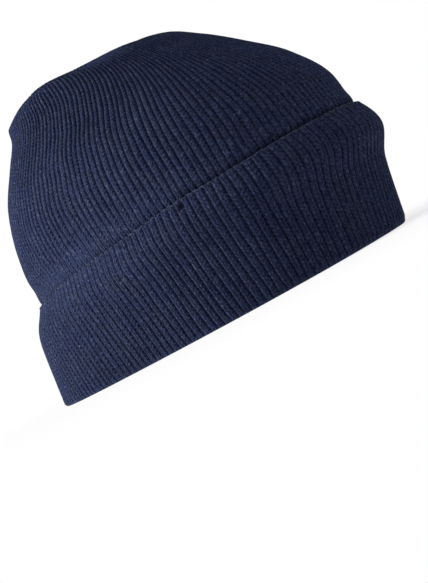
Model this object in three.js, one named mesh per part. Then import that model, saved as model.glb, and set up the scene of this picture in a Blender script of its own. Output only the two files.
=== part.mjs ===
import * as THREE from 'three';

// A rib-knit winter hat: one tube of knitted cloth, closed at the top and turned up at the
// bottom into a cuff. Millimetres, +Z up. The wearer's front is -Y and the wearer's left is +X.
// The hat stands on the rounded fold of its rim.

// Overall sizes
const rimLength = 212;
const rimWidth = 168;
const hatHeight = 150;

// Cloth and cuff
const clothThickness = 2.6;
const cuffGap = 0.8;
const cuffHeight = 57;
const cuffFrontRise = 6;
const cuffEdgeWave = 0.7;
const cuffBulge = 6;
const restWidth = 3.2;
const foldCorner = 0.9;

// Waist where the cuff's tight free edge draws the cloth in, deepest at the back
const pinchDepth = 4.2;
const pinchFrontDepth = 1.4;
const pinchReach = 10.5;

// Knitted ribs. Those of the cuff lean back along the hat's sides by a slant in degrees.
const ribCount = 164;
const ribDepth = 0.9;
const cuffRibSlant = 18;

// Shape of the head space
const sectionPower = 2.25;
const frontTaper = 0.075;

// Closing seams at the top
const dartCount = 4;
const dartDepth = 1.6;
const dartStart = 0.6;

// Columns of facets round the hat
const innerColumns = 72;
const slitColumns = 90;
const topColumns = [120, 60];
const ribColumns = 2 * ribCount;

const cuffOffset = clothThickness + cuffGap;
const bodyLength = rimLength - 2 * cuffOffset;
const bodyWidth = rimWidth - 2 * cuffOffset;
const degree = Math.PI / 180;

// Sections of the crown's outer face, from the rim to the top. rise is a share of hatHeight,
// side and reach are shares of half the body's width and length, and lean is how far the
// section's middle lies to the front, as a share of the body's length.
const crownSections = [
  { rise: 0.000, side: 1.000, reach: 1.000, lean: 0.000 },
  { rise: 0.200, side: 0.995, reach: 0.998, lean: 0.030 },
  { rise: 0.400, side: 0.990, reach: 0.985, lean: 0.062 },
  { rise: 0.540, side: 0.985, reach: 0.940, lean: 0.066 },
  { rise: 0.680, side: 0.912, reach: 0.836, lean: 0.048 },
  { rise: 0.800, side: 0.795, reach: 0.680, lean: 0.024 },
  { rise: 0.895, side: 0.680, reach: 0.570, lean: -0.012 },
  { rise: 0.960, side: 0.565, reach: 0.490, lean: -0.050 },
  { rise: 0.992, side: 0.340, reach: 0.310, lean: -0.075 },
  { rise: 1.000, side: 0.000, reach: 0.000, lean: -0.090 },
];

// Rows of the cuff from the fold to its free edge. rise is a share of the cuff's height,
// front and sides are how far it stands off there, as shares of cuffBulge.
const cuffSections = [
  { rise: 0.00, front: 0.00, sides: 0.00 },
  { rise: 0.30, front: 0.02, sides: 0.06 },
  { rise: 0.55, front: 0.12, sides: 0.10 },
  { rise: 0.80, front: 0.90, sides: 0.16 },
  { rise: 1.00, front: 0.70, sides: 0.10 },
];

// Course of the crown's ribs. rise is a share of hatHeight, and back is how far a rib has moved
// back along the hat's side by then, as a share of half the body's width.
const crownRibs = [
  { rise: 0.00, back: 0.000 },
  { rise: 0.40, back: 0.080 },
  { rise: 0.47, back: 0.094 },
  { rise: 0.56, back: 0.100 },
  { rise: 0.68, back: 0.050 },
  { rise: 0.80, back: -0.070 },
  { rise: 0.90, back: -0.200 },
  { rise: 1.00, back: -0.290 },
];

// Soft dents and swells of the crown. around is in degrees from the front towards the wearer's
// left, rise and tall are shares of hatHeight, wide is in degrees, depth in cloth thicknesses.
const dents = [
  { around: -92, rise: 0.670, wide: 12, tall: 0.030, depth: 0.25 },
  { around: -74, rise: 0.790, wide: 12, tall: 0.030, depth: 0.30 },
  { around: -76, rise: 0.945, wide: 26, tall: 0.045, depth: -1.75 },
  { around: -50, rise: 0.965, wide: 34, tall: 0.030, depth: 0.60 },
  { around: -18, rise: 0.900, wide: 26, tall: 0.050, depth: 0.55 },
  { around: 75, rise: 0.800, wide: 24, tall: 0.060, depth: 0.50 },
  { around: 150, rise: 0.900, wide: 28, tall: 0.040, depth: 0.55 },
  { around: -130, rise: 0.915, wide: 24, tall: 0.085, depth: 1.40 },
];

// Slow waves of the cuff's free edge, as shares of cuffEdgeWave
const edgeWaves = [
  { turns: 3, phase: 35, size: 0.6 },
  { turns: 7, phase: 120, size: 0.3 },
  { turns: 11, phase: 10, size: 0.2 },
];

// Smooth value of one column of a table at a place between its rows, without overshoot
function column(table, name, place) {
  const last = table.length - 1;
  const row = Math.max(Math.min(Math.floor(place), last - 1), 0);
  const part = place - row;
  const step = (k) => table[k + 1][name] - table[k][name];
  const slope = (k) => {
    if (k === 0) return step(0);
    if (k === last) return step(last - 1);
    const before = step(k - 1);
    const after = step(k);
    return before * after > 0 ? 2 * before * after / (before + after) : 0;
  };
  const square = part * part;
  const cube = square * part;
  return (2 * cube - 3 * square + 1) * table[row][name]
    + (cube - 2 * square + part) * slope(row)
    + (3 * square - 2 * cube) * table[row + 1][name]
    + (cube - square) * slope(row + 1);
}

// Place in a table, counted in rows, where its rise reaches a value
function placeOf(table, rise) {
  let low = 0;
  let high = table.length - 1;
  for (let turn = 0; turn < 40; turn += 1) {
    const middle = (low + high) / 2;
    if (column(table, 'rise', middle) < rise) low = middle;
    else high = middle;
  }
  return (low + high) / 2;
}

// How much a bump with its middle at 0 is felt at a distance in its own widths
function bump(distance) {
  return Math.exp(-distance * distance);
}

// Smallest turn between two angles
function turnBetween(a, b) {
  return Math.atan2(Math.sin(a - b), Math.cos(a - b));
}

// Point of the crown's plain form at a place in the table and an angle from the front
function formPoint(place, angle) {
  const side = column(crownSections, 'side', place) * bodyWidth / 2;
  const reach = column(crownSections, 'reach', place) * bodyLength / 2;
  const middle = -column(crownSections, 'lean', place) * bodyLength;
  const rise = column(crownSections, 'rise', place) * hatHeight;
  const sine = Math.sin(angle);
  const cosine = Math.cos(angle);
  const sum = Math.abs(sine / side) ** sectionPower + Math.abs(cosine / reach) ** sectionPower;
  const radius = sum ** (-1 / sectionPower);
  const x = radius * sine * (1 - frontTaper * cosine);
  return new THREE.Vector3(x, middle - radius * cosine, rise);
}

// Outward direction of the plain form
function formNormal(place, angle) {
  const nudge = 0.01;
  const around = formPoint(place, angle + nudge).sub(formPoint(place, angle - nudge));
  const along = formPoint(place + nudge, angle).sub(formPoint(place - nudge, angle));
  return around.cross(along).normalize();
}

// Depth of the dents and of the closing seams at a place of the crown
function dentDepth(place, angle) {
  const rise = column(crownSections, 'rise', place);
  const across = column(crownSections, 'side', place);
  let depth = 0;
  for (const dent of dents) {
    const turn = turnBetween(angle, dent.around * degree) / (dent.wide * degree);
    depth += dent.depth * clothThickness * bump(turn) * bump((rise - dent.rise) / dent.tall);
  }
  const pitch = 2 * Math.PI / dartCount;
  const turn = angle / pitch - Math.round(angle / pitch);
  const distance = turn * pitch * across * bodyWidth / 2;
  const reached = Math.min(Math.max((dartStart - across) / (dartStart / 2), 0), 1);
  return depth + dartDepth * reached * bump(distance / cuffOffset);
}

// Height of the cuff's free edge at an angle
function cuffTop(angle) {
  let wave = 0;
  for (const { turns, phase, size } of edgeWaves) wave += size * Math.sin(turns * angle + phase * degree);
  return cuffHeight + cuffFrontRise * Math.cos(angle) + cuffEdgeWave * wave;
}

// Depth to which the cuff's free edge draws the cloth in at a height
function waistDepth(height, angle) {
  const back = (1 - Math.cos(angle)) / 2;
  const deepest = pinchFrontDepth + (pinchDepth - pinchFrontDepth) * back;
  return deepest * bump((height - cuffTop(angle)) / pinchReach);
}

// Point of the crown at a distance outside its plain form
function crownPoint(place, angle, offset) {
  const height = column(crownSections, 'rise', place) * hatHeight;
  const depth = dentDepth(place, angle) + waistDepth(height, angle);
  return formPoint(place, angle).addScaledVector(formNormal(place, angle), offset - depth);
}

// Point of the cuff at a share of its height, at a distance outside the crown's form
function cuffPoint(share, angle, offset) {
  const place = placeOf(cuffSections, share);
  const front = (1 + Math.cos(angle)) / 2;
  const atFront = column(cuffSections, 'front', place) * front ** 2;
  const atSides = column(cuffSections, 'sides', place) * (1 - front ** 2);
  const standOff = cuffBulge * (atFront + atSides);
  const height = share * cuffTop(angle);
  const crownPlace = placeOf(crownSections, height / hatHeight);
  const depth = waistDepth(height, angle) - standOff;
  return formPoint(crownPlace, angle).addScaledVector(formNormal(crownPlace, angle), offset - depth);
}

// Angle of a rib that has moved back along the hat's side by a share of half the body's width
function movedBack(angle, back) {
  return angle + back * Math.sin(angle);
}

// Point of the fold under the rim, at a height and a distance outside the crown's form
function foldPoint(height, angle, offset) {
  const normal = formNormal(0, angle);
  normal.setZ(0).normalize();
  const point = formPoint(0, angle).addScaledVector(normal, offset);
  return point.setZ(height);
}

// Angles that part the rim into stretches of equal length
function evenAngles(count) {
  const fine = 1440;
  const lengths = [0];
  let before = formPoint(0, 0);
  for (let k = 1; k <= fine; k += 1) {
    const point = formPoint(0, 2 * Math.PI * k / fine);
    lengths.push(lengths[k - 1] + point.distanceTo(before));
    before = point;
  }
  const angles = [];
  let k = 0;
  for (let part = 0; part < count; part += 1) {
    const wanted = lengths[fine] * part / count;
    while (lengths[k + 1] <= wanted) k += 1;
    const share = (wanted - lengths[k]) / (lengths[k + 1] - lengths[k]);
    angles.push(2 * Math.PI * (k + share) / fine);
  }
  return angles;
}

const vertices = [];
const faces = [];

// Adds a ring of points, each from the angle and the share round the rim
function ring(count, pointAt) {
  const first = vertices.length;
  evenAngles(count).forEach((angle, k) => vertices.push(pointAt(angle, k)));
  return { first, count };
}

// Joins two rings that may have different counts, always taking the shorter step next
function bridge(lower, upper) {
  let a = 0;
  let b = 0;
  while (a < lower.count || b < upper.count) {
    const a0 = lower.first + a % lower.count;
    const b0 = upper.first + b % upper.count;
    if (b === upper.count || (a < lower.count && (a + 1) / lower.count <= (b + 1) / upper.count)) {
      faces.push([a0, lower.first + (a + 1) % lower.count, b0]);
      a += 1;
    } else {
      faces.push([a0, upper.first + (b + 1) % upper.count, b0]);
      b += 1;
    }
  }
}

// Closes a ring with one point
function close(ringToClose, point, atStart) {
  const tip = vertices.push(point) - 1;
  for (let k = 0; k < ringToClose.count; k += 1) {
    const here = ringToClose.first + k;
    const next = ringToClose.first + (k + 1) % ringToClose.count;
    faces.push(atStart ? [tip, next, here] : [here, next, tip]);
  }
}

// Height of a column of the ribs below their crests, which are every other column
function ribRelief(k) {
  return k % 2 === 0 ? 0 : -ribDepth;
}

// Point of a column of the crown's ribs
function crownRibPoint(place, angle, k) {
  const back = column(crownRibs, 'back', placeOf(crownRibs, column(crownSections, 'rise', place)));
  return crownPoint(place, movedBack(angle, back), ribRelief(k));
}

// Point of a column of the cuff's ribs
function cuffRibPoint(share, angle, k) {
  const back = share * cuffHeight * Math.tan(cuffRibSlant * degree) / (bodyWidth / 2);
  return cuffPoint(share, movedBack(angle, back), cuffOffset + ribRelief(k));
}

const rings = [];
const rimPlaces = [0.12, 1, 2, 3, 4, 5, 6, 7, 8];

// Inner face, from the top down to the rim
for (const place of [...rimPlaces].reverse()) {
  rings.push(ring(innerColumns, (angle) => crownPoint(place, angle, -clothThickness)));
}

// Rounded fold under the rim, flat where it rests
const middleOfFold = cuffGap / 2;
rings.push(ring(slitColumns, (angle) => foldPoint(foldCorner, angle, foldCorner - clothThickness)));
rings.push(ring(slitColumns, (angle) => foldPoint(0, angle, middleOfFold - restWidth / 2)));
rings.push(ring(slitColumns, (angle) => foldPoint(0, angle, middleOfFold + restWidth / 2)));
rings.push(ring(slitColumns, (angle) => foldPoint(foldCorner, angle, cuffOffset - foldCorner)));

// Ribbed outer face of the cuff, up to its free edge
for (const share of [0.06, 0.4, 0.8, 0.975]) {
  rings.push(ring(ribColumns, (angle, k) => cuffRibPoint(share, angle, k)));
}

// Free edge of the cuff and the face behind it, down into the fold
const slitFloor = 0.1;
rings.push(ring(slitColumns, (angle) => cuffPoint(1, angle, cuffGap + clothThickness / 2)));
for (const share of [0.975, 0.8, 0.5, slitFloor]) {
  rings.push(ring(slitColumns, (angle) => cuffPoint(share, angle, cuffGap)));
}

// Outer face of the crown behind the cuff
for (const share of [slitFloor, 0.5, 0.85]) {
  rings.push(ring(slitColumns, (angle) => {
    const place = placeOf(crownSections, share * cuffTop(angle) / hatHeight);
    return crownPoint(place, angle, -ribDepth);
  }));
}

// Ribbed outer face of the crown, from inside the cuff's edge to the top
for (const share of [0.93, 1.22]) {
  rings.push(ring(ribColumns, (angle, k) => {
    const place = placeOf(crownSections, share * cuffTop(angle) / hatHeight);
    return crownRibPoint(place, angle, k);
  }));
}
for (const place of [3, 4, 4.9, 5.8, 6.7]) {
  rings.push(ring(ribColumns, (angle, k) => crownRibPoint(place, angle, k)));
}
topColumns.forEach((count, k) => {
  rings.push(ring(count, (angle) => crownPoint(7.6 + 0.8 * k, angle, -ribDepth / 2)));
});

for (let k = 1; k < rings.length; k += 1) bridge(rings[k - 1], rings[k]);
const topMiddle = -crownSections[crownSections.length - 1].lean * bodyLength;
close(rings[0], new THREE.Vector3(0, topMiddle, hatHeight - clothThickness), true);
close(rings[rings.length - 1], new THREE.Vector3(0, topMiddle, hatHeight), false);

// The solid, with the middle of its outline at the origin
const geometry = new THREE.BufferGeometry();
geometry.setAttribute('position', new THREE.Float32BufferAttribute(vertices.flatMap((v) => [v.x, v.y, v.z]), 3));
geometry.setIndex(faces.flat());
geometry.computeBoundingBox();
const { min, max } = geometry.boundingBox;
geometry.translate(-(min.x + max.x) / 2, -(min.y + max.y) / 2, -min.z);
geometry.computeVertexNormals();

const navyWool = new THREE.MeshStandardMaterial({ color: 0x232a40, roughness: 0.95, metalness: 0 });
const knitBody = new THREE.Mesh(geometry, navyWool);
knitBody.name = 'knit_body';

const hat = new THREE.Group();
hat.add(knitBody);
export default hat;
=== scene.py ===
import math
import bpy
import numpy as np
from mathutils import Matrix, Vector


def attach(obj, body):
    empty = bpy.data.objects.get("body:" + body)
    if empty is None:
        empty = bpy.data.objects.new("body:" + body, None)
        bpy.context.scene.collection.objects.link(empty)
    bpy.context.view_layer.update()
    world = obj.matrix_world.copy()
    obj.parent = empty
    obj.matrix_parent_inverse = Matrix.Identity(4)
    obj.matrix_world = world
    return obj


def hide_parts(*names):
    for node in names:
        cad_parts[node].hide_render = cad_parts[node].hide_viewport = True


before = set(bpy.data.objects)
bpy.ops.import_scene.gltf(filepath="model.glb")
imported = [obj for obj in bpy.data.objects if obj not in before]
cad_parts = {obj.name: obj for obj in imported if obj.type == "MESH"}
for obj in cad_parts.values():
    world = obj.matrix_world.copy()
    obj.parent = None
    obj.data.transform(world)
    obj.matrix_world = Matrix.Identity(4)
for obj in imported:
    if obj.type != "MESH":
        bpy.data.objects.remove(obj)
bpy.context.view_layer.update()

# Camera. It looks at the wearer's right front from just above the surface that the hat
# stands on, rolled so that the hat leans back to the left as it is worn.

view_azimuth = math.radians(-48)
view_elevation = math.radians(0.4)
view_roll = math.radians(-29)
view_distance = 0.75
pixels_per_metre = 1930
image_size = (428, 583)
aim_height = 0.075
aim_pixel = (175.0, 182.0)

back = Vector((
    math.sin(view_azimuth) * math.cos(view_elevation),
    -math.cos(view_azimuth) * math.cos(view_elevation),
    math.sin(view_elevation),
))
level_right = Vector((0, 0, 1)).cross(back).normalized()
level_up = back.cross(level_right)
view_right = math.cos(view_roll) * level_right + math.sin(view_roll) * level_up
view_up = back.cross(view_right)
slide_right = (image_size[0] / 2 - aim_pixel[0]) / pixels_per_metre
slide_up = (aim_pixel[1] - image_size[1] / 2) / pixels_per_metre
aim = Vector((0, 0, aim_height)) + view_right * slide_right + view_up * slide_up

lens = bpy.data.cameras.new("camera")
lens.sensor_width = 36
lens.lens = pixels_per_metre * view_distance * lens.sensor_width / image_size[1]
camera = bpy.data.objects.new("camera", lens)
camera.matrix_world = Matrix((
    (view_right.x, view_up.x, back.x, aim.x + back.x * view_distance),
    (view_right.y, view_up.y, back.y, aim.y + back.y * view_distance),
    (view_right.z, view_up.z, back.z, aim.z + back.z * view_distance),
    (0, 0, 0, 1),
))
bpy.context.collection.objects.link(camera)
bpy.context.scene.camera = camera

# Studio. A white surround, one broad soft light from the camera's left, a weak one from
# the right and one from above, over a pale matt floor that runs out into white.

bpy.context.scene.view_settings.view_transform = "Standard"
world = bpy.data.worlds.new("studio")
bpy.context.scene.world = world
world.use_nodes = True
air = world.node_tree
surround = air.nodes["Background"]
surround.inputs["Color"].default_value = (0.93, 0.95, 1.0, 1)
surround.inputs["Strength"].default_value = 0.13
seen = air.nodes.new("ShaderNodeBackground")
seen.inputs["Color"].default_value = (1, 1, 1, 1)
seen.inputs["Strength"].default_value = 1.0
path = air.nodes.new("ShaderNodeLightPath")
either = air.nodes.new("ShaderNodeMixShader")
air.links.new(path.outputs["Is Camera Ray"], either.inputs[0])
air.links.new(surround.outputs[0], either.inputs[1])
air.links.new(seen.outputs[0], either.inputs[2])
air.links.new(either.outputs[0], air.nodes["World Output"].inputs["Surface"])


def add_light(name, turn, lift, distance, size, power, colour):
    """A square soft light. turn is measured from the camera, to its right, and lift above the floor."""
    light = bpy.data.lights.new(name, "AREA")
    light.size = size
    light.energy = power
    light.color = colour
    lamp = bpy.data.objects.new(name, light)
    angle = view_azimuth + math.radians(turn)
    height = math.radians(lift)
    level = math.cos(height)
    out = Vector((math.sin(angle) * level, -math.cos(angle) * level, math.sin(height)))
    lamp.location = Vector((0, 0, aim_height)) + out * distance
    lamp.rotation_mode = "QUATERNION"
    lamp.rotation_quaternion = (-out).to_track_quat("-Z", "Y")
    bpy.context.collection.objects.link(lamp)


add_light("key_light", -86, 14, 1.5, 0.9, 41, (1.0, 0.99, 0.98))
add_light("rim_light", 95, 20, 1.6, 0.8, 1.2, (0.95, 0.97, 1.0))
add_light("top_light", -5, 72, 1.7, 0.7, 13, (1, 1, 1))

floor_mesh = bpy.data.meshes.new("floor")
floor_half = 12.0
floor_corners = [(x * floor_half, y * floor_half, 0) for x, y in ((-1, -1), (1, -1), (1, 1), (-1, 1))]
floor_mesh.from_pydata(floor_corners, [], [(0, 1, 2, 3)])
floor = bpy.data.objects.new("floor", floor_mesh)
bpy.context.collection.objects.link(floor)
pale = bpy.data.materials.new("pale_floor")
pale.use_nodes = True
tree = pale.node_tree
matt = tree.nodes["Principled BSDF"]
matt.inputs["Base Color"].default_value = (0.9, 0.9, 0.9, 1)
matt.inputs["Roughness"].default_value = 0.9
matt.inputs["Specular IOR Level"].default_value = 0.1
glow = tree.nodes.new("ShaderNodeEmission")
place = tree.nodes.new("ShaderNodeTexCoord")
reach = tree.nodes.new("ShaderNodeVectorMath")
reach.operation = "LENGTH"
fade = tree.nodes.new("ShaderNodeMapRange")
fade.interpolation_type = "SMOOTHSTEP"
fade.inputs["From Min"].default_value = 0.10
fade.inputs["From Max"].default_value = 0.32
fade.inputs["To Min"].default_value = 0.78
blend = tree.nodes.new("ShaderNodeMixShader")
tree.links.new(place.outputs["Object"], reach.inputs[0])
tree.links.new(reach.outputs["Value"], fade.inputs["Value"])
tree.links.new(fade.outputs["Result"], blend.inputs[0])
tree.links.new(matt.outputs[0], blend.inputs[1])
tree.links.new(glow.outputs[0], blend.inputs[2])
tree.links.new(blend.outputs[0], tree.nodes["Material Output"].inputs["Surface"])
floor_mesh.materials.append(pale)

# Crown. One tube of rib-knit navy yarn, closed at the top by four darts. Its cloth runs down
# inside the cuff and turns under it at the rim, so this piece has the head's hollow and the
# inner half of the fold too.

mm = 0.001
rim_length = 212 * mm
rim_width = 168 * mm
hat_height = 150 * mm
cloth = 2.6 * mm
cuff_gap = 0.8 * mm
cuff_height = 57 * mm
cuff_front_rise = 6 * mm
cuff_edge_wave = 0.7 * mm
cuff_bulge = 6 * mm
pinch_depth = 4.2 * mm
pinch_front_depth = 1.4 * mm
pinch_reach = 10.5 * mm
rest_width = 3.2 * mm
cuff_offset = cloth + cuff_gap
body_length = rim_length - 2 * cuff_offset
body_width = rim_width - 2 * cuff_offset

section_power = 2.25
front_taper = 0.075
dart_count = 4
dart_depth = 1.6 * mm
dart_start = 0.6

# rise is a share of the height, side and reach are shares of half the width and length,
# and lean is how far the section's middle lies to the front, as a share of the length
crown_sections = {
    "rise": [0.000, 0.200, 0.400, 0.540, 0.680, 0.800, 0.895, 0.960, 0.992, 1.000],
    "side": [1.000, 0.995, 0.990, 0.985, 0.912, 0.795, 0.680, 0.565, 0.340, 0.000],
    "reach": [1.000, 0.998, 0.985, 0.940, 0.836, 0.680, 0.570, 0.490, 0.310, 0.000],
    "lean": [0.000, 0.030, 0.062, 0.066, 0.048, 0.024, -0.012, -0.050, -0.075, -0.090],
}

# rise is a share of the cuff's height, front and sides are shares of the cuff's bulge
cuff_sections = {
    "rise": [0.00, 0.30, 0.55, 0.80, 1.00],
    "front": [0.00, 0.02, 0.12, 0.90, 0.28],
    "sides": [0.00, 0.06, 0.10, 0.16, 0.10],
}

# rise is a share of the height, and back is how far a rib has moved back along the hat's side
# by then, as a share of half the width
crown_ribs = {
    "rise": [0.00, 0.40, 0.47, 0.56, 0.68, 0.80, 0.90, 1.00],
    "back": [0.000, 0.080, 0.094, 0.100, 0.050, -0.070, -0.200, -0.290],
}

# around and wide in degrees from the front to the wearer's left, rise and tall as shares of
# the height, depth in thicknesses of the cloth
dents = [
    {"around": -92, "rise": 0.670, "wide": 12, "tall": 0.030, "depth": 0.25},
    {"around": -74, "rise": 0.790, "wide": 12, "tall": 0.030, "depth": 0.30},
    {"around": -76, "rise": 0.945, "wide": 26, "tall": 0.045, "depth": -1.75},
    {"around": -50, "rise": 0.965, "wide": 34, "tall": 0.030, "depth": 0.60},
    {"around": -18, "rise": 0.900, "wide": 26, "tall": 0.050, "depth": 0.55},
    {"around": 75, "rise": 0.800, "wide": 24, "tall": 0.060, "depth": 0.50},
    {"around": 150, "rise": 0.900, "wide": 28, "tall": 0.040, "depth": 0.55},
    {"around": -130, "rise": 0.915, "wide": 24, "tall": 0.085, "depth": 1.40},
]

# turns round the rim, phase in degrees, size as a share of the edge's wave
edge_waves = [(3, 35, 0.6), (7, 120, 0.3), (11, 10, 0.2)]


def column(table, name, place):
    """Smooth value of one column of a table at places between its rows, without overshoot."""
    values = np.array(table[name])
    steps = np.diff(values)
    product = steps[:-1] * steps[1:]
    total = np.where(np.abs(steps[:-1] + steps[1:]) > 0, steps[:-1] + steps[1:], 1)
    slopes = np.concatenate([steps[:1], np.where(product > 0, 2 * product / total, 0), steps[-1:]])
    row = np.clip(np.floor(place).astype(int), 0, len(values) - 2)
    part = place - row
    square, cube = part ** 2, part ** 3
    return (
        (2 * cube - 3 * square + 1) * values[row] + (cube - 2 * square + part) * slopes[row]
        + (3 * square - 2 * cube) * values[row + 1] + (cube - square) * slopes[row + 1]
    )


tables = (crown_sections, cuff_sections, crown_ribs)
fine_places = {id(table): np.linspace(0, len(table["rise"]) - 1, 4001) for table in tables}


def place_of(table, rise):
    """Place in a table, counted in rows, where its rise reaches a value."""
    fine = fine_places[id(table)]
    return np.interp(rise, column(table, "rise", fine), fine)


def form_point(place, angle):
    """Points of the crown's plain form at places in its table and angles from the front."""
    side = column(crown_sections, "side", place) * body_width / 2
    reach = column(crown_sections, "reach", place) * body_length / 2
    middle = -column(crown_sections, "lean", place) * body_length
    rise = column(crown_sections, "rise", place) * hat_height
    sine, cosine = np.sin(angle), np.cos(angle)
    total = np.abs(sine / side) ** section_power + np.abs(cosine / reach) ** section_power
    radius = total ** (-1 / section_power)
    x = radius * sine * (1 - front_taper * cosine)
    return np.stack([x, middle - radius * cosine, rise + 0 * angle], -1)


def form_normal(place, angle):
    nudge = 0.01
    around = form_point(place, angle + nudge) - form_point(place, angle - nudge)
    along = form_point(place + nudge, angle) - form_point(place - nudge, angle)
    normal = np.cross(around, along)
    return normal / np.linalg.norm(normal, axis=-1, keepdims=True)


def dent_depth(place, angle):
    """Depth of the dents and of the closing darts."""
    rise = column(crown_sections, "rise", place)
    across = column(crown_sections, "side", place)
    depth = 0 * angle
    for dent in dents:
        turn = angle - math.radians(dent["around"])
        turn = np.arctan2(np.sin(turn), np.cos(turn)) / math.radians(dent["wide"])
        above = (rise - dent["rise"]) / dent["tall"]
        depth = depth + dent["depth"] * cloth * np.exp(-turn ** 2 - above ** 2)
    pitch = 2 * math.pi / dart_count
    turn = angle / pitch - np.round(angle / pitch)
    distance = turn * pitch * across * body_width / 2
    reached = np.clip((dart_start - across) / (dart_start / 2), 0, 1)
    return depth + dart_depth * reached * np.exp(-(distance / cuff_offset) ** 2)


def cuff_top(angle):
    """Height of the cuff's free edge at an angle."""
    wave = sum(size * np.sin(turns * angle + math.radians(phase)) for turns, phase, size in edge_waves)
    return cuff_height + cuff_front_rise * np.cos(angle) + cuff_edge_wave * wave


def waist_depth(height, angle):
    """Depth to which the cuff's tight free edge draws the cloth in at a height."""
    deepest = pinch_front_depth + (pinch_depth - pinch_front_depth) * (1 - np.cos(angle)) / 2
    return deepest * np.exp(-((height - cuff_top(angle)) / pinch_reach) ** 2)


def moved_back(angle, back):
    """Angle of a rib that has moved back along the hat's side by a share of half its width."""
    return angle + back * np.sin(angle)


def crown_point(place, angle, offset):
    """Points of the crown at a distance outside its plain form."""
    height = column(crown_sections, "rise", place) * hat_height
    depth = dent_depth(place, angle) + waist_depth(height, angle)
    return form_point(place, angle) + form_normal(place, angle) * (offset - depth)[..., None]


def fold_point(height, angle, offset):
    """Points of the fold under the rim, at a height and a distance outside the crown's form."""
    start = 0 * angle
    normal = form_normal(start, angle)
    normal[..., 2] = 0
    normal /= np.linalg.norm(normal, axis=-1, keepdims=True)
    point = form_point(start, angle) + normal * offset
    point[..., 2] = height
    return point


# The ribs stand at equal distances round the rim
ring_angles = np.linspace(0, 2 * math.pi, 1441)
ring_steps = np.linalg.norm(np.diff(form_point(0 * ring_angles, ring_angles), axis=0), axis=1)
ring_lengths = np.concatenate([[0], np.cumsum(ring_steps)])


def rim_angle(share):
    """Angle at a share of the way round the rim."""
    return np.interp(share % 1 * ring_lengths[-1], ring_lengths, ring_angles)


rib_count = 164
course_height = 2.1 * mm
columns_per_rib = 6
rib_wander = 0.045
cuff_rib_slant = 18

# Where the darts start to take ribs in, and over how far, in rows of the crown's table
dart_place = 6.2
dart_ease = 1.3

quarter_ends = np.interp(np.arange(5) * math.pi / 2, ring_angles, ring_lengths) / ring_lengths[-1]


def rib_phase(share, place):
    """Number of the rib at a share of the way round. Above the darts' start the ribs keep
    their spacing, run on side by side in each quarter and end at the dart."""
    quarter = np.searchsorted(quarter_ends[1:4], share % 1, side="right")
    middle = (quarter_ends[quarter] + quarter_ends[quarter + 1]) / 2
    aside = share % 1 - middle
    girth = column(crown_sections, "side", place) + column(crown_sections, "reach", place)
    start = np.array(dart_place)
    at_start = column(crown_sections, "side", start) + column(crown_sections, "reach", start)
    begun = np.clip((place - dart_place) / dart_ease, 0, 1)
    begun = begun * begun * (3 - 2 * begun)
    narrowing = 1 + (girth / at_start - 1) * begun
    return (middle + aside * narrowing) * rib_count % rib_count


def rib_wobble(share, rows):
    """Slow sideways drift of the ribs, as a share of a rib's width."""
    a = 2 * math.pi * share
    return rib_wander * (
        np.sin(9 * a + 0.21 * rows) + np.sin(23 * a - 0.17 * rows + 1.3)
        + 0.8 * np.sin(41 * a + 0.33 * rows + 4.0) + 0.9 * np.sin(77 * a - 0.21 * rows + 2.2)
    )


def drifted(share, rows):
    """Share of the way round to which a column has moved with its rib."""
    return share - rib_wobble(share, rows) / rib_count


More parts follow.
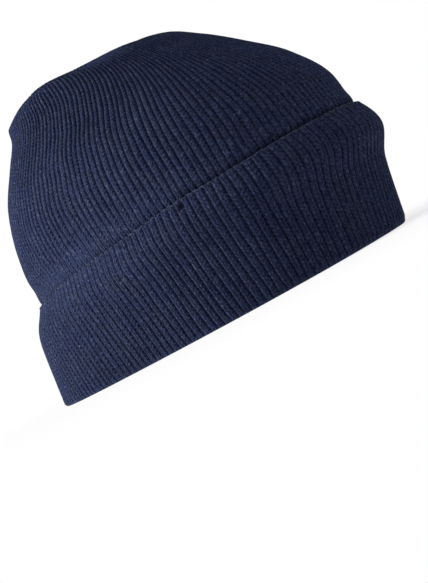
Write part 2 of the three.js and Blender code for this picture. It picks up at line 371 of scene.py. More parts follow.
class Shell:
    """A closed knitted shell, built up ring by ring, with the rib and course numbers of each point."""

    def __init__(self):
        self.points, self.ribs, self.rows, self.weights, self.rings = [], [], [], [], []

    def ring(self, share, points, ribs, rows, weight):
        first = sum(len(p) for p in self.points)
        self.points.append(points)
        self.ribs.append(ribs)
        self.rows.append(rows + 0 * ribs)
        self.weights.append(weight + 0 * ribs)
        self.rings.append((first, len(share)))

    def faces(self, close_start, close_end, join_ends):
        """Quads between rings of equal counts, triangles between others."""
        quads, triangles = [], []
        pairs = list(zip(self.rings, self.rings[1:]))
        if join_ends:
            pairs.append((self.rings[-1], self.rings[0]))
        for (a, m), (b, n) in pairs:
            if m == n:
                k = np.arange(m)
                after = (k + 1) % m
                quads.append(np.stack([a + k, a + after, b + after, b + k], 1))
                continue
            i = j = 0
            while i < m or j < n:
                if j == n or (i < m and (i + 1) * n <= (j + 1) * m):
                    triangles.append((a + i % m, a + (i + 1) % m, b + j % n))
                    i += 1
                else:
                    triangles.append((a + i % m, b + (j + 1) % n, b + j % n))
                    j += 1
        ends = ((close_start, self.rings[0], True), (close_end, self.rings[-1], False))
        for closing, (a, m), turned in ends:
            if closing is None:
                continue
            tip = sum(len(p) for p in self.points)
            self.points.append(np.array([closing]))
            for values in (self.ribs, self.rows, self.weights):
                values.append(np.array([values[0 if turned else len(self.rings) - 1][0]]))
            self.weights[-1][:] = 0
            for k in range(m):
                here, after = a + k, a + (k + 1) % m
                triangles.append((tip, after, here) if turned else (here, after, tip))
        return [tuple(q) for block in quads for q in block.tolist()] + triangles

    def build(self, name, close_start=None, close_end=None, join_ends=False):
        faces = self.faces(close_start, close_end, join_ends)
        points = np.concatenate(self.points)
        mesh = bpy.data.meshes.new(name)
        mesh.from_pydata(points.tolist(), [], faces)
        ribs, rows = np.concatenate(self.ribs), np.concatenate(self.rows)
        for key, values in (("ribs", ribs), ("rows", rows), ("relief", np.concatenate(self.weights))):
            mesh.attributes.new(key, "FLOAT", "POINT").data.foreach_set("value", values.astype(np.float32))
        corners = np.empty(len(mesh.loops), np.int32)
        mesh.loops.foreach_get("vertex_index", corners)
        starts = np.empty(len(mesh.polygons), np.int32)
        mesh.polygons.foreach_get("loop_start", starts)
        counts = np.diff(np.append(starts, len(corners)))
        owner = np.repeat(np.arange(len(starts)), counts)
        u = ribs[corners]
        lead = u[starts][owner]
        ahead = u - lead > rib_count / 2
        behind = lead - u > rib_count / 2
        u = np.where(ahead, u - rib_count, np.where(behind, u + rib_count, u))
        u = np.where(np.abs(u - lead) > 2, lead, u)
        knit = mesh.uv_layers.new(name="knit")
        knit.data.foreach_set("uv", np.stack([u, rows[corners]], 1).astype(np.float32).ravel())
        mesh.shade_smooth()
        mesh.set_sharp_from_angle(angle=math.radians(70))
        mesh.validate()
        piece = bpy.data.objects.new(name, mesh)
        bpy.context.collection.objects.link(piece)
        return piece


def node_socket(tree, kind, side, name, value=None):
    socket = tree.interface.new_socket(name=name, in_out=side, socket_type=kind)
    if value is not None:
        socket.default_value = value
    return socket


def math_node(tree, operation, first, second=None, third=None):
    """One Math node, fed by sockets or numbers, and its result."""
    node = tree.nodes.new("ShaderNodeMath")
    node.operation = operation
    for socket, value in zip(node.inputs, (first, second, third)):
        if isinstance(value, (int, float)):
            socket.default_value = value
        elif value is not None:
            tree.links.new(value, socket)
    return node.outputs[0]


def arithmetic(tree):
    """Product, sum and difference of sockets or numbers in one node tree."""
    def maker(operation):
        return lambda first, second: math_node(tree, operation, first, second)

    return maker("MULTIPLY"), maker("ADD"), maker("SUBTRACT")


def make_rib_relief():
    """Sinks the narrow grooves between the wide ribs into a knitted shell."""
    tree = bpy.data.node_groups.new("rib_relief", "GeometryNodeTree")
    times, plus, minus = arithmetic(tree)
    node_socket(tree, "NodeSocketGeometry", "INPUT", "Knit")
    node_socket(tree, "NodeSocketFloat", "INPUT", "Groove Depth", 0.001)
    node_socket(tree, "NodeSocketFloat", "INPUT", "Groove Width", 0.16)
    node_socket(tree, "NodeSocketFloat", "INPUT", "Unevenness", 0.5)
    node_socket(tree, "NodeSocketInt", "INPUT", "Seed", 3)
    node_socket(tree, "NodeSocketMaterial", "INPUT", "Yarn")
    node_socket(tree, "NodeSocketGeometry", "OUTPUT", "Knit")
    inside = tree.nodes.new("NodeGroupInput")
    outside = tree.nodes.new("NodeGroupOutput")

    def read(name):
        node = tree.nodes.new("GeometryNodeInputNamedAttribute")
        node.data_type = "FLOAT"
        node.inputs["Name"].default_value = name
        return node.outputs["Attribute"]

    ribs, rows, weight = read("ribs"), read("rows"), read("relief")

    def drift(rib_scale, row_scale, offset):
        """Even noise between -0.5 and 0.5 over the ribs and the courses."""
        where = tree.nodes.new("ShaderNodeCombineXYZ")
        tree.links.new(times(ribs, rib_scale), where.inputs[0])
        tree.links.new(times(rows, row_scale), where.inputs[1])
        tree.links.new(plus(inside.outputs["Seed"], offset), where.inputs[2])
        noise = tree.nodes.new("ShaderNodeTexNoise")
        noise.inputs["Scale"].default_value = 1.0
        noise.inputs["Detail"].default_value = 1.5
        tree.links.new(where.outputs[0], noise.inputs["Vector"])
        return times(minus(noise.outputs[0], 0.5), inside.outputs["Unevenness"])

    sideways = times(drift(0.6, 0.22, 31.0), 0.08)
    across = math_node(tree, "FRACT", plus(ribs, sideways))
    from_crest = math_node(tree, "ABSOLUTE", minus(across, 0.5))
    from_groove = minus(0.5, from_crest)
    spread = math_node(tree, "DIVIDE", from_groove, inside.outputs["Groove Width"])
    power = times(times(spread, spread), -1.0)
    groove = math_node(tree, "EXPONENT", power)

    uneven = plus(drift(0.9, 0.16, 0.0), times(drift(2.0, 0.8, 7.0), 0.6))
    deeper = plus(1.0, uneven)
    swell = times(uneven, 0.25)
    down = minus(swell, times(groove, deeper))
    down = times(times(down, weight), inside.outputs["Groove Depth"])

    normal = tree.nodes.new("GeometryNodeInputNormal")
    shift = tree.nodes.new("ShaderNodeVectorMath")
    shift.operation = "SCALE"
    tree.links.new(normal.outputs["Normal"], shift.inputs[0])
    tree.links.new(down, shift.inputs["Scale"])
    move = tree.nodes.new("GeometryNodeSetPosition")
    tree.links.new(inside.outputs["Knit"], move.inputs["Geometry"])
    tree.links.new(shift.outputs[0], move.inputs["Offset"])
    whole = tree.nodes.new("GeometryNodeRealizeInstances")
    dress = tree.nodes.new("GeometryNodeSetMaterial")
    tree.links.new(move.outputs["Geometry"], whole.inputs["Geometry"])
    tree.links.new(whole.outputs["Geometry"], dress.inputs["Geometry"])
    tree.links.new(inside.outputs["Yarn"], dress.inputs["Material"])
    tree.links.new(dress.outputs["Geometry"], outside.inputs["Knit"])
    return tree


def grow(piece, tree, values):
    """Runs a node tree on a piece with its inputs named, and keeps the result as a plain mesh."""
    modifier = piece.modifiers.new(tree.name, "NODES")
    modifier.node_group = tree
    for item in tree.interface.items_tree:
        if item.item_type == "SOCKET" and item.in_out == "INPUT" and item.name in values:
            modifier[item.identifier] = values[item.name]
    view_layer = bpy.context.evaluated_depsgraph_get()
    made = bpy.data.meshes.new_from_object(piece.evaluated_get(view_layer), depsgraph=view_layer)
    piece.modifiers.clear()
    old = piece.data
    piece.data = made
    bpy.data.meshes.remove(old)
    made.name = piece.name
    return piece


def make_stitch_group():
    """Colour, gloss and height of rib-knit yarn. Each rib is a column of chevron stitches: two
    plied strands that slant together, with a fine line between them and a groove beside. The
    colour carries painted shade: it darkens toward the Groove colour in the groove, on the fine
    line and between the loops."""
    tree = bpy.data.node_groups.new("rib_knit_yarn", "ShaderNodeTree")
    times, plus, minus = arithmetic(tree)
    node_socket(tree, "NodeSocketColor", "INPUT", "Yarn", (0.03, 0.04, 0.08, 1))
    # Groove is the painted shade colour of the grooves, the fine line and the gaps between loops
    node_socket(tree, "NodeSocketColor", "INPUT", "Groove", (0.006, 0.008, 0.02, 1))
    node_socket(tree, "NodeSocketFloat", "INPUT", "Slant", 0.8)
    node_socket(tree, "NodeSocketFloat", "INPUT", "Groove Width", 0.2)
    node_socket(tree, "NodeSocketFloat", "INPUT", "Centre Line", 0.3)
    node_socket(tree, "NodeSocketFloat", "INPUT", "Mottle", 0.5)
    node_socket(tree, "NodeSocketColor", "OUTPUT", "Color")
    node_socket(tree, "NodeSocketFloat", "OUTPUT", "Roughness")
    node_socket(tree, "NodeSocketFloat", "OUTPUT", "Height")
    inside = tree.nodes.new("NodeGroupInput")
    outside = tree.nodes.new("NodeGroupOutput")
    knit = tree.nodes.new("ShaderNodeUVMap")
    knit.uv_map = "knit"
    split = tree.nodes.new("ShaderNodeSeparateXYZ")
    tree.links.new(knit.outputs["UV"], split.inputs[0])
    across, along = split.outputs[0], split.outputs[1]

    def cloud(scale, detail, roughness):
        place = tree.nodes.new("ShaderNodeTexCoord")
        noise = tree.nodes.new("ShaderNodeTexNoise")
        noise.inputs["Scale"].default_value = scale
        noise.inputs["Detail"].default_value = detail
        noise.inputs["Roughness"].default_value = roughness
        tree.links.new(place.outputs["Object"], noise.inputs["Vector"])
        return minus(noise.outputs[0], 0.5)

    weight = tree.nodes.new("ShaderNodeAttribute")
    weight.attribute_name = "relief"
    flat = minus(1.0, weight.outputs["Fac"])
    flat = math_node(tree, "MAXIMUM", flat, 0.0)
    fibre, lump, patch = cloud(1150, 2, 0.75), cloud(380, 2, 0.6), cloud(48, 3, 0.5)
    # Sparse light specks from thresholded noise: painted highlights, added to the brightness with the
    # mottle
    highlight_specks = times(minus(cloud(640, 1, 0.5), 0.09), 9.0)
    highlight_specks = math_node(tree, "MINIMUM", math_node(tree, "MAXIMUM", highlight_specks, 0.0), 1.0)
    rib_number = math_node(tree, "FLOOR", across)
    beat = math_node(tree, "SINE", plus(times(along, 2 * math.pi), times(rib_number, 2.4)))
    shaken = plus(plus(across, times(lump, 0.16)), times(beat, 0.04))
    from_crest = math_node(tree, "ABSOLUTE", minus(math_node(tree, "FRACT", shaken), 0.5))
    from_groove = minus(0.5, from_crest)
    reach = times(inside.outputs["Groove Width"], plus(1.0, times(beat, 0.3)))
    crest = math_node(tree, "SMOOTH_MIN", math_node(tree, "DIVIDE", from_groove, reach), 1.0, 0.35)
    from_seam = math_node(tree, "POWER", math_node(tree, "DIVIDE", from_crest, 0.09), 2.0)
    seam = math_node(tree, "EXPONENT", times(from_seam, -1.0))
    tight = math_node(tree, "MAXIMUM", minus(times(flat, 1.4), 0.3), 0.0)
    seam = times(seam, math_node(tree, "MINIMUM", plus(inside.outputs["Centre Line"], tight), 0.9))
    slanted = minus(along, times(times(from_crest, 2.0), inside.outputs["Slant"]))
    wave = math_node(tree, "SINE", times(slanted, math.pi))
    loop = math_node(tree, "POWER", math_node(tree, "ABSOLUTE", wave), 1.1)
    ply = math_node(tree, "SINE", plus(times(along, 6 * math.pi), times(from_crest, 14 * math.pi)))
    stitch = plus(plus(0.35, times(loop, 0.6)), times(ply, 0.06))
    stitch = times(stitch, minus(1.0, seam))
    level = times(crest, stitch)

    bright = plus(plus(times(fibre, 4.6), times(lump, 1.2)), plus(times(patch, 0.7), times(highlight_specks, 1.1)))
    bright = plus(1.0, times(bright, inside.outputs["Mottle"]))
    bright = math_node(tree, "MAXIMUM", bright, 0.3)
    # Painted shade: the colour runs from the yarn on the crests to the Groove colour where the knit lies
    # low, and is lighter where the relief weight is low
    shade = tree.nodes.new("ShaderNodeMix")
    shade.data_type = "RGBA"
    sockets = {socket.identifier: socket for socket in shade.inputs}
    painted_light_share = plus(plus(times(level, 0.9), times(crest, 0.25)), times(flat, 0.7))
    tree.links.new(math_node(tree, "MINIMUM", painted_light_share, 1.0), sockets["Factor_Float"])
    tree.links.new(inside.outputs["Groove"], sockets["A_Color"])
    tree.links.new(inside.outputs["Yarn"], sockets["B_Color"])
    hue = cloud(85, 3, 0.6)
    tint = tree.nodes.new("ShaderNodeCombineXYZ")
    above = minus(bright, 1.0)
    for socket, strength, gain in zip(tint.inputs, (0.5, 0.2, -0.3), (1.15, 1.08, 0.75)):
        lift = plus(1.0, times(above, gain))
        tree.links.new(times(lift, plus(1.0, times(hue, strength))), socket)
    lit = tree.nodes.new("ShaderNodeVectorMath")
    lit.operation = "MULTIPLY"
    mixed = {socket.identifier: socket for socket in shade.outputs}["Result_Color"]
    tree.links.new(mixed, lit.inputs[0])
    tree.links.new(tint.outputs[0], lit.inputs[1])
    tree.links.new(lit.outputs[0], outside.inputs["Color"])
    tree.links.new(minus(0.97, times(level, 0.1)), outside.inputs["Roughness"])
    tree.links.new(plus(level, times(fibre, 0.7)), outside.inputs["Height"])
    return tree


def make_yarn(name, slant, centre_line, mottle):
    """Matt navy acrylic yarn with a soft blue fuzz."""
    material = bpy.data.materials.new(name)
    material.use_nodes = True
    tree = material.node_tree
    skin = tree.nodes["Principled BSDF"]
    knit = tree.nodes.new("ShaderNodeGroup")
    knit.node_tree = stitch_group
    knit.inputs["Yarn"].default_value = (0.0185, 0.0255, 0.062, 1)
    # painted shade colour for the grooves, the centre line and between the loops
    knit.inputs["Groove"].default_value = (0.0036, 0.0048, 0.017, 1)
    knit.inputs["Slant"].default_value = slant
    knit.inputs["Centre Line"].default_value = centre_line
    knit.inputs["Mottle"].default_value = mottle
    relief = tree.nodes.new("ShaderNodeBump")
    relief.inputs["Strength"].default_value = 0.85
    relief.inputs["Distance"].default_value = 0.6 * mm
    tree.links.new(knit.outputs["Color"], skin.inputs["Base Color"])
    tree.links.new(knit.outputs["Roughness"], skin.inputs["Roughness"])
    tree.links.new(knit.outputs["Height"], relief.inputs["Height"])
    tree.links.new(relief.outputs["Normal"], skin.inputs["Normal"])
    skin.inputs["Specular IOR Level"].default_value = 0.08
    skin.inputs["Sheen Weight"].default_value = 0.06
    skin.inputs["Sheen Roughness"].default_value = 0.4
    skin.inputs["Sheen Tint"].default_value = (0.3, 0.45, 0.9, 1)
    return material


stitch_group = make_stitch_group()
rib_relief = make_rib_relief()
crown_yarn = make_yarn("crown_yarn", 0.8, 0.15, 0.9)

full_columns = rib_count * columns_per_rib
half_columns = full_columns // 2
plain_columns = rib_count * 2
shares = {n: np.arange(n) / n for n in (full_columns, half_columns, plain_columns)}

# Places of the crown's rows, at equal lengths along its front, side and back on average
fine = np.linspace(0, len(crown_sections["rise"]) - 1.02, 3000)
meridian_angles = (0.01, 1.6, 3.13)
meridians = np.stack([form_point(fine, 0 * fine + turn) for turn in meridian_angles])
run = np.linalg.norm(np.diff(meridians, axis=1), axis=2).mean(0)
run = np.concatenate([[0], np.cumsum(run)])


def place_at(length):
    return np.interp(length, run, fine)


def length_at(place):
    return np.interp(place, fine, run)


def crown_angle(share, place):
    """Angle of a rib of the crown at a place."""
    rise = column(crown_sections, "rise", place)
    return moved_back(rim_angle(share), column(crown_ribs, "back", place_of(crown_ribs, rise)))


def crown_ring(shell, count, place, offset, weight):
    share = shares[count]
    place = place + 0 * share
    rows = length_at(place) / course_height
    angle = crown_angle(drifted(share, rows), place)
    shell.ring(share, crown_point(place, angle, offset + 0 * angle), rib_phase(share, place), rows, weight)


def fold_ring(shell, count, height, offset, rows, weight):
    share = shares[count]
    angle = rim_angle(drifted(share, rows))
    shell.ring(share, fold_point(height, angle, offset), share * rib_count, rows, weight)


middle_of_fold = cuff_gap / 2
seam_gap = 0.02 * mm
seam_height = 4.0 * mm
crown_end = run[-1]
inner_rows = 44
inner_end = 3.5 * mm
shell = Shell()
for length in np.linspace(crown_end, inner_end, inner_rows):
    crown_ring(shell, plain_columns, place_at(length), -cloth, 0.0)

# Height, distance outside the crown's form and course number of the fold's inner rings
inner_fold = [
    (1.9 * mm, -cloth + 0.1 * mm, 0.6),
    (0.9 * mm, -cloth + 0.45 * mm, 0.2),
    (0.3 * mm, -cloth + 1.0 * mm, -0.1),
    (0.0, middle_of_fold - rest_width / 2, -0.4),
    (0.0, middle_of_fold - seam_gap, -1.0),
    (seam_height, middle_of_fold - seam_gap, -1.2),
]
for height, offset, rows in inner_fold:
    fold_ring(shell, plain_columns, height, offset, rows, 0.0)

hidden_offset = -0.9 * mm
for share_up in (0.1, 0.35, 0.6):
    share = shares[plain_columns]
    angle = rim_angle(share)
    place = place_of(crown_sections, share_up * cuff_top(angle) / hat_height)
    points = crown_point(place, angle, hidden_offset + 0 * angle)
    shell.ring(share, points, share * rib_count, length_at(place) / course_height, 0.0)

# The ribbed rows start behind the cuff's edge, follow it, and even out above it
edge_swell = 1.3 * mm
edge_swell_rise = 3.5 * mm
edge_swell_reach = 4 * mm
tight_reach = 11 * mm
ribbed_rows = 66
ribbed_end = 7.55
start_share = 0.72
share = shares[full_columns]
angle = rim_angle(share)
edge_length = length_at(place_of(crown_sections, start_share * cuff_top(angle) / hat_height))
goal = length_at(np.array(ribbed_end))
for k in range(ribbed_rows + 1):
    length = edge_length + (goal - edge_length) * (k / ribbed_rows)
    place = place_at(length)
    rows = length / course_height
    ribs = rib_phase(share, place)
    turned = crown_angle(drifted(share, rows), place)
    above_edge = column(crown_sections, "rise", place) * hat_height - cuff_top(turned)
    swell = edge_swell * np.exp(-((above_edge - edge_swell_rise) / edge_swell_reach) ** 2)
    at_side = np.clip(1 - np.cos(turned), 0, 1)
    tight = (0.3 + 0.35 * at_side) * np.exp(-(np.maximum(above_edge, 0) / tight_reach) ** 2)
    calm = 1.1 - tight - 0.32 * at_side + 0.35 * np.clip(place / 2 - 2, 0, 1)
    shell.ring(share, crown_point(place, turned, swell), ribs, rows, calm)
top_rows = 9
for k in range(1, top_rows + 1):
    length = goal + (crown_end - 0.5 * mm - goal) * k / top_rows
    crown_ring(shell, half_columns, place_at(length), 0.0, 1.3 - 0.9 * k / top_rows)

top_middle = -crown_sections["lean"][-1] * body_length
inner_top, outer_top = (0, top_middle, hat_height - cloth), (0, top_middle, hat_height)
crown = shell.build("crown_knit", close_start=inner_top, close_end=outer_top)
grooves = {"Groove Depth": 0.95 * mm, "Groove Width": 0.15}
grow(crown, rib_relief, {**grooves, "Unevenness": 0.9, "Seed": 3, "Yarn": crown_yarn})

# Cuff. The tube's lower end, turned up outside the crown: the ribs run on round the fold and
# up to the free cast-on edge, and the slit behind it is open.

cuff_yarn = make_yarn("cuff_yarn", -0.8, 0.8, 0.9)


def cuff_point(share_up, angle, offset):
    """Points of the cuff at a share of its height, at a distance outside the crown's form."""
    place = place_of(cuff_sections, share_up)
    front = (1 + np.cos(angle)) / 2
    at_front = column(cuff_sections, "front", place) * front ** 2
    at_sides = column(cuff_sections, "sides", place) * (1 - front ** 2)
    height = share_up * cuff_top(angle)
    depth = waist_depth(height, angle) - cuff_bulge * (at_front + at_sides)
    crown_place = place_of(crown_sections, height / hat_height)
    return form_point(crown_place, angle) + form_normal(crown_place, angle) * (offset - depth)[..., None]


# Where a tack of thread draws the cuff in, near the wearer's right temple
tack_angle = math.radians(-54)
tack_share = 0.945
tack_depth = 1.5 * mm
tack_reach = 1.5 * mm


def cuff_angle(share, share_up):
    """Angle of a rib of the cuff at a share of its height."""
    lean = math.tan(math.radians(cuff_rib_slant))
    return moved_back(rim_angle(share), share_up * cuff_height * lean / (body_width / 2))


def cuff_ring(shell, count, share_up, offset, weight):
    share = shares[count]
    rows = -2.5 - share_up * cuff_top(cuff_angle(share, share_up)) / course_height
    angle = cuff_angle(drifted(share, rows), share_up)
    weight = weight * (1 - 0.6 * share_up * np.clip(1 - np.cos(angle), 0, 1))
    turn = (angle - tack_angle + math.pi) % (2 * math.pi) - math.pi
    away = np.hypot(turn * body_width / 2, (share_up - tack_share) * cuff_height) / tack_reach
    sunk = tack_depth * np.exp(-away ** 2) if offset > cloth else 0 * angle
    shell.ring(share, cuff_point(np.array(share_up), angle, offset - sunk), share * rib_count, rows, weight)


# Height, distance outside the crown's form, course number and relief of the fold's outer rings
outer_fold = [
    (0.0, middle_of_fold + seam_gap, -1.0, 0.0),
    (0.0, middle_of_fold + rest_width / 2, -1.6, 0.0),
    (0.25 * mm, cuff_offset - 0.9 * mm, -1.8, 0.3),
    (0.8 * mm, cuff_offset - 0.5 * mm, -2.1, 0.6),
    (1.7 * mm, cuff_offset - 0.18 * mm, -2.4, 0.8),
]
shell = Shell()
fold_ring(shell, plain_columns, seam_height, middle_of_fold + seam_gap, -1.2, 0.0)
for height, offset, rows, weight in outer_fold:
    fold_ring(shell, full_columns, height, offset, rows, weight)

edge_thinning = 1.1 * mm
for share_up in np.concatenate([np.linspace(0.06, 0.87, 24), np.linspace(0.885, 0.975, 8)]):
    thinned = edge_thinning * max(share_up - 0.8, 0) ** 2 / 0.2 ** 2
    cuff_ring(shell, full_columns, share_up, cuff_offset - thinned, 1.1)
cuff_ring(shell, full_columns, 0.992, cuff_offset - edge_thinning - 0.35 * mm, 0.25)
cuff_ring(shell, plain_columns, 1.0, cuff_gap + 0.6 * mm, 0.0)
cuff_ring(shell, plain_columns, 0.985, cuff_gap + 0.2 * mm, 0.0)
for share_up in (0.95, 0.8, 0.6, 0.4, 0.2, 0.1):
    cuff_ring(shell, plain_columns, share_up, cuff_gap, 0.0)
cuff = shell.build("cuff_knit", join_ends=True)
grow(cuff, rib_relief, {**grooves, "Unevenness": 0.8, "Seed": 8, "Yarn": cuff_yarn})

# Cast-on edge. The cuff's free edge is a chain of tight stitches of the same yarn, one long
# loop to each rib, that runs all the way round. Its thread is coloured lighter than the
# cuff's yarn: a painted highlight along the edge.

stitch_length = 3.0 * mm
stitch_width = 0.8 * mm
stitches_per_rib = 1


def make_edge_chain():
    """Sets a chain of slanting loops along a line."""
    tree = bpy.data.node_groups.new("edge_chain", "GeometryNodeTree")
    times, plus, minus = arithmetic(tree)
    node_socket(tree, "NodeSocketGeometry", "INPUT", "Line")
    node_socket(tree, "NodeSocketInt", "INPUT", "Stitches", 360)
    node_socket(tree, "NodeSocketFloat", "INPUT", "Length", 0.0015)
    node_socket(tree, "NodeSocketFloat", "INPUT", "Width", 0.0008)
    node_socket(tree, "NodeSocketFloat", "INPUT", "Slant", 0.5)
    node_socket(tree, "NodeSocketInt", "INPUT", "Seed", 1)
    node_socket(tree, "NodeSocketMaterial", "INPUT", "Yarn")
    node_socket(tree, "NodeSocketGeometry", "OUTPUT", "Chain")
    inside = tree.nodes.new("NodeGroupInput")
    outside = tree.nodes.new("NodeGroupOutput")
    curve = tree.nodes.new("GeometryNodeMeshToCurve")
    points = tree.nodes.new("GeometryNodeCurveToPoints")
    points.mode = "COUNT"
    tree.links.new(inside.outputs["Line"], curve.inputs["Mesh"])
    tree.links.new(curve.outputs["Curve"], points.inputs["Curve"])
    tree.links.new(inside.outputs["Stitches"], points.inputs["Count"])
    loop = tree.nodes.new("GeometryNodeMeshUVSphere")
    loop.inputs["Segments"].default_value = 8
    loop.inputs["Rings"].default_value = 6
    loop.inputs["Radius"].default_value = 0.5
    place = tree.nodes.new("GeometryNodeInstanceOnPoints")
    tree.links.new(points.outputs["Points"], place.inputs["Points"])
    tree.links.new(loop.outputs["Mesh"], place.inputs["Instance"])
    align = tree.nodes.new("FunctionNodeAlignRotationToVector")
    align.axis = "X"
    tree.links.new(points.outputs["Tangent"], align.inputs["Vector"])
    number = tree.nodes.new("GeometryNodeInputIndex")
    odd = minus(times(math_node(tree, "MODULO", number.outputs[0], 2.0), 2.0), 1.0)
    chance = tree.nodes.new("FunctionNodeRandomValue")
    chance.data_type = "FLOAT"
    chance_sockets = {socket.identifier: socket for socket in chance.inputs}
    chance_sockets["Min_001"].default_value = -0.25
    chance_sockets["Max_001"].default_value = 0.25
    tree.links.new(inside.outputs["Seed"], chance_sockets["Seed"])
    drawn = {socket.identifier: socket for socket in chance.outputs}["Value_001"]
    tilt = plus(times(odd, inside.outputs["Slant"]), drawn)
    turn = tree.nodes.new("FunctionNodeAxisAngleToRotation")
    turn.inputs["Axis"].default_value = (0, 1, 0)
    tree.links.new(tilt, turn.inputs["Angle"])
    both = tree.nodes.new("FunctionNodeRotateRotation")
    both.rotation_space = "LOCAL"
    tree.links.new(align.outputs["Rotation"], both.inputs["Rotation"])
    tree.links.new(turn.outputs["Rotation"], both.inputs["Rotate By"])
    tree.links.new(both.outputs["Rotation"], place.inputs["Rotation"])
    size = tree.nodes.new("ShaderNodeCombineXYZ")
    uneven = plus(1.0, drawn)
    tree.links.new(times(inside.outputs["Length"], uneven), size.inputs[0])
    tree.links.new(inside.outputs["Width"], size.inputs[1])
    tree.links.new(times(inside.outputs["Width"], uneven), size.inputs[2])
    tree.links.new(size.outputs[0], place.inputs["Scale"])
    whole = tree.nodes.new("GeometryNodeRealizeInstances")
    dress = tree.nodes.new("GeometryNodeSetMaterial")
    tree.links.new(place.outputs["Instances"], whole.inputs["Geometry"])
    tree.links.new(whole.outputs["Geometry"], dress.inputs["Geometry"])
    tree.links.new(inside.outputs["Yarn"], dress.inputs["Material"])
    tree.links.new(dress.outputs["Geometry"], outside.inputs["Chain"])
    return tree


def make_thread(name, dark, light, grain):
    """Matt twisted thread, unevenly dyed, with loose fibres."""
    material = bpy.data.materials.new(name)
    material.use_nodes = True
    tree = material.node_tree
    skin = tree.nodes["Principled BSDF"]
    place = tree.nodes.new("ShaderNodeTexCoord")
    noise = tree.nodes.new("ShaderNodeTexNoise")
    noise.inputs["Scale"].default_value = grain
    noise.inputs["Detail"].default_value = 3
    noise.inputs["Roughness"].default_value = 0.7
    colours = tree.nodes.new("ShaderNodeValToRGB")
    colours.color_ramp.elements[0].position = 0.35
    colours.color_ramp.elements[0].color = dark
    colours.color_ramp.elements[1].position = 0.65
    colours.color_ramp.elements[1].color = light
    relief = tree.nodes.new("ShaderNodeBump")
    relief.inputs["Strength"].default_value = 0.6
    relief.inputs["Distance"].default_value = 0.3 * mm
    tree.links.new(place.outputs["Object"], noise.inputs["Vector"])
    tree.links.new(noise.outputs[0], colours.inputs[0])
    tree.links.new(colours.outputs[0], skin.inputs["Base Color"])
    tree.links.new(noise.outputs[0], relief.inputs["Height"])
    tree.links.new(relief.outputs["Normal"], skin.inputs["Normal"])
    skin.inputs["Roughness"].default_value = 0.92
    skin.inputs["Specular IOR Level"].default_value = 0.08
    return material


# lighter than the cuff's yarn: painted highlight on the cast-on edge
edge_highlight_yarn = make_thread("edge_highlight_yarn", (0.018, 0.023, 0.046, 1), (0.060, 0.070, 0.120, 1), 900)

line_count = 720
chain_share = 0.994
chain_depth = 0.3 * mm
share = np.arange(line_count) / line_count
angle = cuff_angle(share, 1)
chain_offset = cuff_offset - edge_thinning - chain_depth + 0 * angle
chain_line = cuff_point(np.array(chain_share), angle, chain_offset)
line_mesh = bpy.data.meshes.new("cuff_edge_chain")
links = [(k, (k + 1) % line_count) for k in range(line_count)]
line_mesh.from_pydata(chain_line.tolist(), links, [])
edge_chain = bpy.data.objects.new("cuff_edge_chain", line_mesh)
bpy.context.collection.objects.link(edge_chain)
grow(edge_chain, make_edge_chain(), {
    "Stitches": stitches_per_rib * rib_count, "Length": stitch_length, "Width": stitch_width,
    "Slant": 0.12, "Seed": 5, "Yarn": edge_highlight_yarn,
})
edge_chain.data.shade_smooth()

# Tack. Two short strands of sewing thread near the wearer's right temple, from a dimple in the
# cuff over its free edge into the crown, that hold the cuff up.

strand_radius = 0.32 * mm
strand_sides = 8
strand_gap = 1.3 * mm

# rise is measured from the cuff's free edge, out from the crown's plain form
strand_course = {
    "rise": [-3.3 * mm, -2.2 * mm, -1.1 * mm, -0.2 * mm, 0.5 * mm, 1.4 * mm, 2.2 * mm],
    "out": [0.2 * mm, 1.9 * mm, 2.9 * mm, 3.3 * mm, 2.7 * mm, 1.3 * mm, -0.4 * mm],
}
course_places = np.arange(len(strand_course["rise"]))
strand_places = np.linspace(0, course_places[-1], 19)
strand_points, strand_faces = [], []
for side in (-0.5, 0.5):
    rise = np.interp(strand_places, course_places, strand_course["rise"])
    out = np.interp(strand_places, course_places, strand_course["out"])
    turned = tack_angle + side * strand_gap / (body_width / 2) + 0.35 * (rise + 0.5 * mm) / body_width
    height = cuff_top(turned) + rise
    spine = form_point(place_of(crown_sections, height / hat_height), turned)
    normal = form_normal(place_of(crown_sections, height / hat_height), turned)
    spine = spine + normal * (out - waist_depth(height, turned))[:, None]
    forward = np.gradient(spine, axis=0)
    forward /= np.linalg.norm(forward, axis=1, keepdims=True)
    across = np.cross(forward, normal)
    across /= np.linalg.norm(across, axis=1, keepdims=True)
    lifted = np.cross(across, forward)
    first = len(strand_points)
    for k in range(len(spine)):
        for turn in np.arange(strand_sides) * 2 * math.pi / strand_sides:
            arm = across[k] * math.cos(turn) + lifted[k] * math.sin(turn)
            strand_points.append(spine[k] + arm * strand_radius)
    for k in range(len(spine) - 1):
        for n in range(strand_sides):
            ring = first + k * strand_sides
            a, b = ring + n, ring + (n + 1) % strand_sides
            strand_faces.append((a, a + strand_sides, b + strand_sides, b))
    strand_faces.append(tuple(first + n for n in range(strand_sides)))
    last = first + (len(spine) - 1) * strand_sides
    strand_faces.append(tuple(last + n for n in reversed(range(strand_sides))))
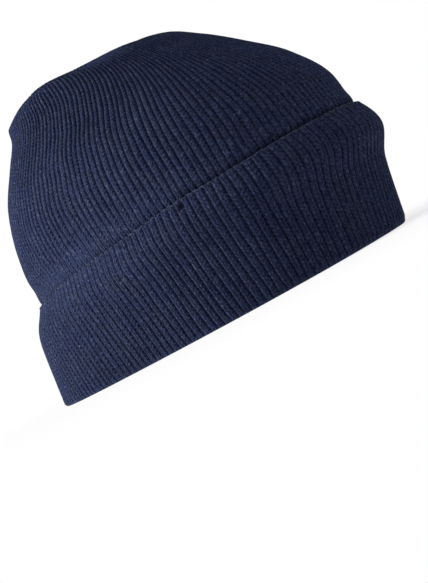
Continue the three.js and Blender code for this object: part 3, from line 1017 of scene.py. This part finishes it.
tack_mesh = bpy.data.meshes.new("cuff_tack")
tack_mesh.from_pydata([tuple(point) for point in strand_points], [], strand_faces)
tack_mesh.validate()
tack_mesh.shade_smooth()
tack_thread = make_thread("tack_thread", (0.020, 0.024, 0.045, 1), (0.060, 0.066, 0.105, 1), 1400)
tack_mesh.materials.append(tack_thread)
tack = bpy.data.objects.new("cuff_tack", tack_mesh)
bpy.context.collection.objects.link(tack)

# All pieces are centred over the origin, as the hat's solid is. The cuff's stitches at the tack
# are drawn in to a dimple, and the cuff's colour is darkened round it: painted shade.

outline = np.array([corner.co[1] for corner in cuff.data.vertices])
to_middle = -(outline.min() + outline.max()) / 2
painted_shade_radius = 1.5 * mm
hole = cuff_point(np.array([tack_share]), np.array([tack_angle]), np.array([cuff_offset - tack_depth]))[0]
tree = cuff_yarn.node_tree
place = tree.nodes.new("ShaderNodeTexCoord")
apart = tree.nodes.new("ShaderNodeVectorMath")
apart.operation = "DISTANCE"
apart.inputs[1].default_value = (hole[0], hole[1] + to_middle, hole[2])
# Painted shade: the cuff's colour falls to 0.42 of itself over the dimple
painted_shade_fade = tree.nodes.new("ShaderNodeMapRange")
painted_shade_fade.interpolation_type = "SMOOTHSTEP"
painted_shade_fade.inputs["From Min"].default_value = 0.5 * painted_shade_radius
painted_shade_fade.inputs["From Max"].default_value = 1.5 * painted_shade_radius
painted_shade_fade.inputs["To Min"].default_value = 0.42
painted_shadow_colour = tree.nodes.new("ShaderNodeVectorMath")
painted_shadow_colour.operation = "SCALE"
base = tree.nodes["Principled BSDF"].inputs["Base Color"]
tree.links.new(place.outputs["Object"], apart.inputs[0])
tree.links.new(apart.outputs["Value"], painted_shade_fade.inputs["Value"])
tree.links.new(base.links[0].from_socket, painted_shadow_colour.inputs[0])
tree.links.new(painted_shade_fade.outputs["Result"], painted_shadow_colour.inputs["Scale"])
tree.links.new(painted_shadow_colour.outputs[0], base)
shift = Matrix.Translation((0, to_middle, 0))
for piece in (crown, cuff, edge_chain, tack):
    piece.data.transform(shift)
    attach(piece, "root")
    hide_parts("knit_body")

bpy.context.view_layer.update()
for piece in (crown, cuff, edge_chain, tack):
    print(piece.name, "triangles", sum(len(face.vertices) - 2 for face in piece.data.polygons))
